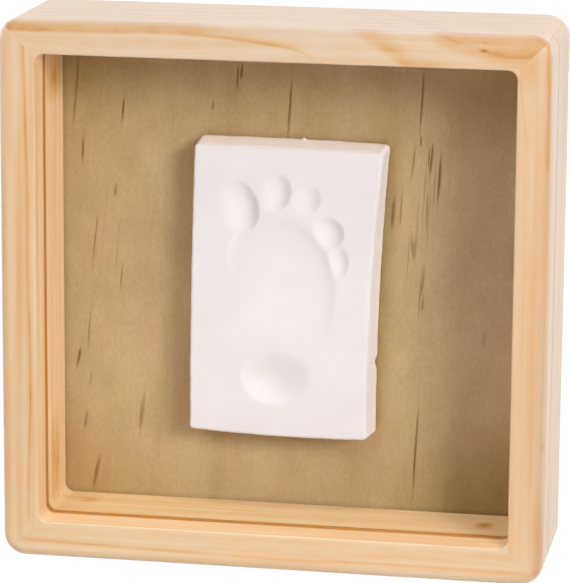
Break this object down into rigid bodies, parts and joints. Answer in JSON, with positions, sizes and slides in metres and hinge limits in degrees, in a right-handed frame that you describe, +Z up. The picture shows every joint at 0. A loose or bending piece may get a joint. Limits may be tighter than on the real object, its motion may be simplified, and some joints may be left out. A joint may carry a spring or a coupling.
{
  "type": "wooden imprint keepsake box",
  "caption": "Square pine shadow box with a hinged window lid, holding a clay tablet with the imprint of a baby's foot on its back panel.",
  "frame": {"origin": "middle of the bottom face that the box stands on, halfway through its depth", "axes": "+Z up, the window faces -Y, +X to the viewer's right"},
  "size_m": [0.1724, 0.047, 0.17],
  "materials": {
    "pine": "satin",
    "plywood": "matte",
    "clay": "matte",
    "acrylic": "polished",
    "brass": "satin",
    "nickel": "polished",
    "steel": "satin",
    "foam": "matte"
  },
  "bodies": {
    "base": {"base_top_rail": "pine", "base_right_rail": "pine", "base_bottom_rail": "pine", "base_left_rail": "pine", "back_panel": "plywood", "base_magnets": "nickel", "mounting_tape": "foam", "clay_tablet": "clay", "upper_hinge_base_leaf": "brass", "upper_hinge_pin": "brass", "lower_hinge_base_leaf": "brass", "lower_hinge_pin": "brass", "base_hinge_screws": "brass", "hanger": "steel", "hanger_nails": "steel"},
    "lid": {"lid_top_rail": "pine", "lid_right_rail": "pine", "lid_bottom_rail": "pine", "lid_left_rail": "pine", "window_pane": "acrylic", "lid_magnets": "nickel", "upper_hinge_lid_leaf": "brass", "lower_hinge_lid_leaf": "brass", "lid_hinge_screws": "brass"}
  },
  "joints": [
    {"name": "lid_hinge", "type": "hinge", "parent": "base", "child": "lid", "pos_m": [-0.0859, -0.00835, 0.085], "axis": [0, 0, -1], "range_deg": [0, 180]}
  ]
}
